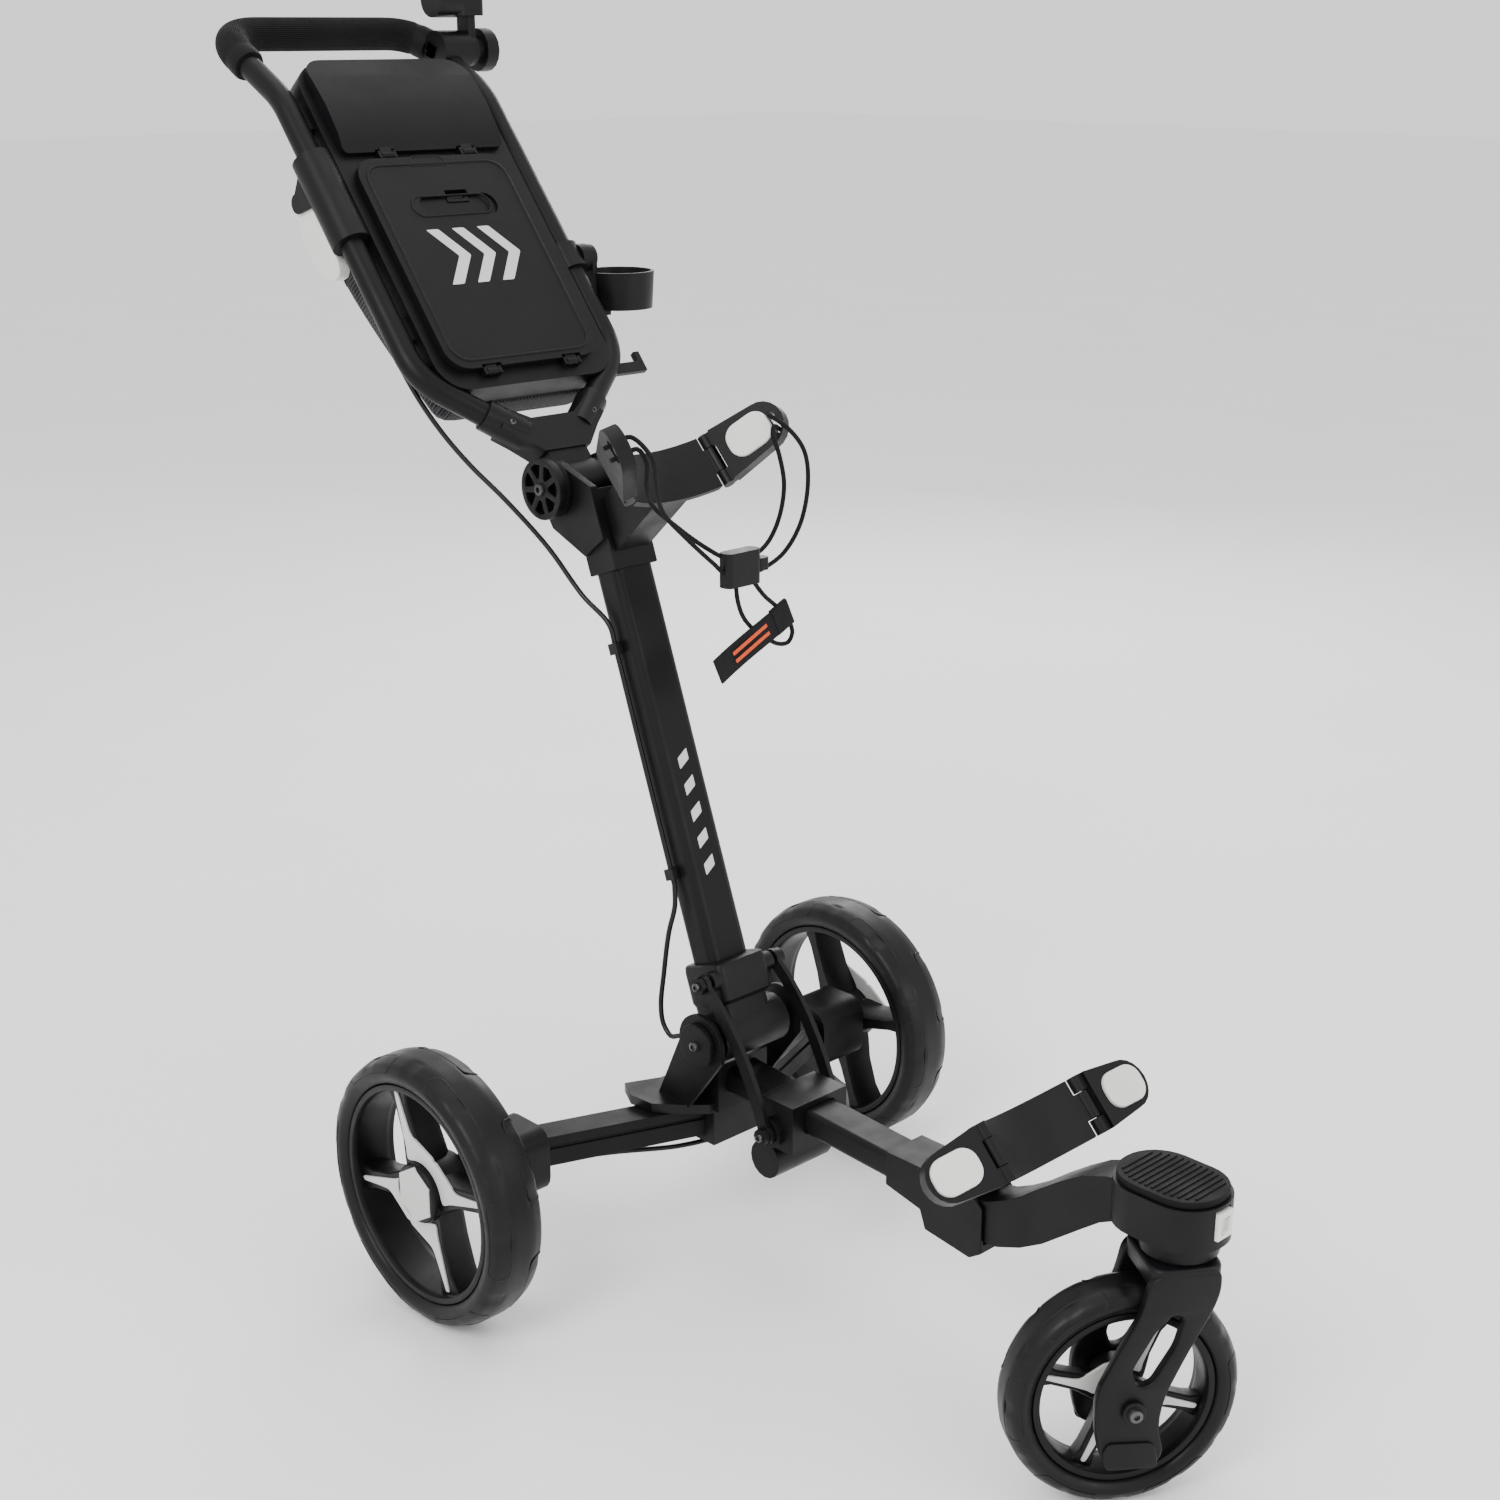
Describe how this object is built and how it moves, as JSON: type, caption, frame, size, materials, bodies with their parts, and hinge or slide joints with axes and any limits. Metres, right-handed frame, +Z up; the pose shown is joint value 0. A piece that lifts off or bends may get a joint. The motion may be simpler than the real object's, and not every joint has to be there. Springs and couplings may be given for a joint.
{
  "type": "golf push trolley",
  "caption": "Three-wheeled folding golf push trolley with a swivelling front wheel, bag cradles, a console and a ribbed grip.",
  "frame": {"origin": "middle of the footprint, on the ground", "axes": "+Z up, travel direction -Y, +X to the left of a person who pushes it"},
  "size_m": [0.5616, 1.1018, 1.126],
  "materials": {
    "black_aluminium": "satin anodised",
    "black_plastic": "matt moulded",
    "satin_plastic": "satin moulded",
    "soft_black": "soft touch, fine ribs",
    "tyre": "solid tyre, satin",
    "off_white": "satin moulded",
    "silver_trim": "painted silver trim",
    "steel": "blackened steel",
    "mesh_fabric": "open polyester mesh",
    "cord_cover": "braided cover",
    "cable_sheath": "smooth plastic sheath",
    "webbing": "woven tape"
  },
  "bodies": {
    "chassis": {"axle_beam": "black_aluminium", "hub_block_left": "black_plastic", "hub_block_right": "black_plastic", "hinge_bracket": "black_plastic", "lower_pivot_pin": "black_plastic", "front_rail": "black_aluminium", "front_collar": "satin_plastic", "front_arm": "satin_plastic", "caster_pad": "soft_black", "lower_cradle_band": "black_plastic", "brake_cable_axle": "cable_sheath", "brake_cable_lower": "cable_sheath"},
    "wheel_left": {"rear_tyre_left": "tyre", "rear_rim_left": "black_plastic"},
    "wheel_right": {"rear_tyre_right": "tyre", "rear_rim_right": "black_plastic"},
    "caster": {"caster_fork": "black_plastic", "front_axle_bolt": "steel"},
    "front_wheel": {"front_tyre": "tyre", "front_rim": "black_plastic"},
    "swivel_lock": {"swivel_latch": "off_white"},
    "main_post": {"lower_knuckle": "black_plastic", "main_tube": "black_aluminium", "upper_socket": "black_plastic", "fold_dial_left": "black_plastic", "fold_dial_right": "black_plastic", "cable_clip_lower": "black_plastic", "cable_clip_upper": "black_plastic", "upper_cradle_band": "black_plastic", "brake_cable_upper": "cable_sheath", "bungee_cord": "cord_cover", "cord_lock": "black_plastic", "webbing_tab": "webbing"},
    "link_left": {"fold_link_left": "black_plastic"},
    "link_right": {"fold_link_right": "black_plastic"},
    "slider": {"link_slider": "black_plastic"},
    "handle": {"y_connector": "black_plastic", "handle_frame": "black_aluminium", "grip": "soft_black", "console_tray": "satin_plastic", "mesh_bag": "mesh_fabric", "brake_lever_housing": "black_plastic", "cup_bracket": "black_plastic", "accessory_hook": "black_plastic", "umbrella_clamp": "black_plastic"},
    "lid": {"console_lid": "satin_plastic"},
    "latch": {"lid_latch": "black_plastic"},
    "cover": {"console_cover": "satin_plastic"},
    "brake": {"brake_lever": "off_white"},
    "cup": {"cup_holder": "black_plastic"},
    "umbrella": {"umbrella_socket": "black_plastic"},
    "knob": {"umbrella_knob": "black_plastic"},
    "lower_pad_left": {"lower_cradle_pad_left": "black_plastic"},
    "lower_button_left": {"lower_cradle_button_left": "off_white"},
    "lower_pad_right": {"lower_cradle_pad_right": "black_plastic"},
    "lower_button_right": {"lower_cradle_button_right": "off_white"},
    "upper_pad_left": {"upper_cradle_pad_left": "black_plastic"},
    "upper_button_left": {"upper_cradle_button_left": "off_white"},
    "upper_pad_right": {"upper_cradle_pad_right": "black_plastic"},
    "upper_button_right": {"upper_cradle_button_right": "off_white"}
  },
  "joints": [
    {"name": "wheel_left_spin", "type": "hinge", "parent": "chassis", "child": "wheel_left", "pos_m": [0.25375, 0.07676, 0.121], "axis": [1, 0, 0], "continuous": true},
    {"name": "wheel_right_spin", "type": "hinge", "parent": "chassis", "child": "wheel_right", "pos_m": [-0.25375, 0.07676, 0.121], "axis": [1, 0, 0], "continuous": true},
    {"name": "caster_swivel", "type": "hinge", "parent": "chassis", "child": "caster", "pos_m": [0, -0.51124, 0.215], "axis": [0, 0, 1], "continuous": true},
    {"name": "front_wheel_spin", "type": "hinge", "parent": "caster", "child": "front_wheel", "pos_m": [-0.03522, -0.48836, 0.0925], "axis": [0.5446, 0.8387, 0], "continuous": true},
    {"name": "swivel_latch_slide", "type": "slide", "parent": "chassis", "child": "swivel_lock", "axis": [0, -1, 0], "range_m": [0, 0.005]},
    {"name": "main_fold", "type": "hinge", "parent": "chassis", "child": "main_post", "pos_m": [0, -0.04024, 0.228], "axis": [1, 0, 0], "range_deg": [0, 80], "deforming": ["brake_cable_lower"]},
    {"name": "link_left_turn", "type": "hinge", "parent": "main_post", "child": "link_left", "pos_m": [0.0425, -0.03574, 0.2804], "axis": [1, 0, 0], "range_deg": [-101, 1]},
    {"name": "link_right_turn", "type": "hinge", "parent": "main_post", "child": "link_right", "pos_m": [-0.0425, -0.03574, 0.2804], "axis": [1, 0, 0], "range_deg": [-101, 1]},
    {"name": "slider_travel", "type": "slide", "parent": "chassis", "child": "slider", "axis": [0, -0.9986, -0.0523], "range_m": [0, 0.094]},
    {"name": "handle_fold", "type": "hinge", "parent": "main_post", "child": "handle", "pos_m": [0, 0.16676, 0.687], "axis": [-1, 0, 0], "range_deg": [0, 100], "deforming": ["brake_cable_upper"]},
    {"name": "lid_open", "type": "hinge", "parent": "handle", "child": "lid", "pos_m": [0, 0.23021, 0.78331], "axis": [1, 0, 0], "range_deg": [0, 95]},
    {"name": "latch_slide", "type": "slide", "parent": "lid", "child": "latch", "axis": [0, 0.6293, 0.7771], "range_m": [0, 0.004], "stiffness_N_per_m": 150},
    {"name": "cover_open", "type": "hinge", "parent": "handle", "child": "cover", "pos_m": [0, 0.37432, 0.96128], "axis": [1, 0, 0], "range_deg": [0, 95]},
    {"name": "brake_lever_turn", "type": "hinge", "parent": "handle", "child": "brake", "pos_m": [-0.112, 0.40626, 0.92126], "axis": [1, 0, 0], "range_deg": [0, 35]},
    {"name": "cup_swing", "type": "hinge", "parent": "handle", "child": "cup", "pos_m": [0.131, 0.31126, 0.8643], "axis": [1, 0, 0], "range_deg": [-50, 50]},
    {"name": "umbrella_tilt", "type": "hinge", "parent": "handle", "child": "umbrella", "pos_m": [0.137, 0.49276, 1.05], "axis": [1, 0, 0], "range_deg": [-8, 70]},
    {"name": "umbrella_knob_turn", "type": "hinge", "parent": "handle", "child": "knob", "pos_m": [0.15, 0.49276, 1.05], "axis": [1, 0, 0], "continuous": true},
    {"name": "lower_pad_left_turn", "type": "hinge", "parent": "chassis", "child": "lower_pad_left", "pos_m": [0.057, -0.37841, 0.2553], "axis": [0, -0.6807, -0.7325], "range_deg": [-20, 45]},
    {"name": "lower_button_left_press", "type": "slide", "parent": "lower_pad_left", "child": "lower_button_left", "axis": [0.0698, 0.7308, -0.6791], "range_m": [0, 0.003], "stiffness_N_per_m": 400},
    {"name": "lower_pad_right_turn", "type": "hinge", "parent": "chassis", "child": "lower_pad_right", "pos_m": [-0.057, -0.37841, 0.2553], "axis": [0, 0.6807, 0.7325], "range_deg": [-5, 60]},
    {"name": "lower_button_right_press", "type": "slide", "parent": "lower_pad_right", "child": "lower_button_right", "axis": [0.342, 0.6884, -0.6397], "range_m": [0, 0.003], "stiffness_N_per_m": 400},
    {"name": "upper_pad_left_turn", "type": "hinge", "parent": "main_post", "child": "upper_pad_left", "pos_m": [0.057, 0.05059, 0.7153], "axis": [0, -0.6807, -0.7325], "range_deg": [-12, 12], "deforming": ["bungee_cord"]},
    {"name": "upper_button_left_press", "type": "slide", "parent": "upper_pad_left", "child": "upper_button_left", "axis": [0.866, 0.3663, -0.3404], "range_m": [0, 0.003], "stiffness_N_per_m": 400},
    {"name": "upper_pad_right_turn", "type": "hinge", "parent": "main_post", "child": "upper_pad_right", "pos_m": [-0.057, 0.05059, 0.7153], "axis": [0, 0.6807, 0.7325], "range_deg": [-12, 12], "deforming": ["bungee_cord"]},
    {"name": "upper_button_right_press", "type": "slide", "parent": "upper_pad_right", "child": "upper_button_right", "axis": [-0.866, 0.3663, -0.3404], "range_m": [0, 0.003], "stiffness_N_per_m": 400}
  ],
  "couplings": [
    {"joint": "link_left_turn", "follows": "main_fold", "ratio": -1.25},
    {"joint": "link_right_turn", "follows": "main_fold", "ratio": -1.25},
    {"joint": "slider_travel", "follows": "main_fold", "m_per_rad": 0.0672}
  ]
}
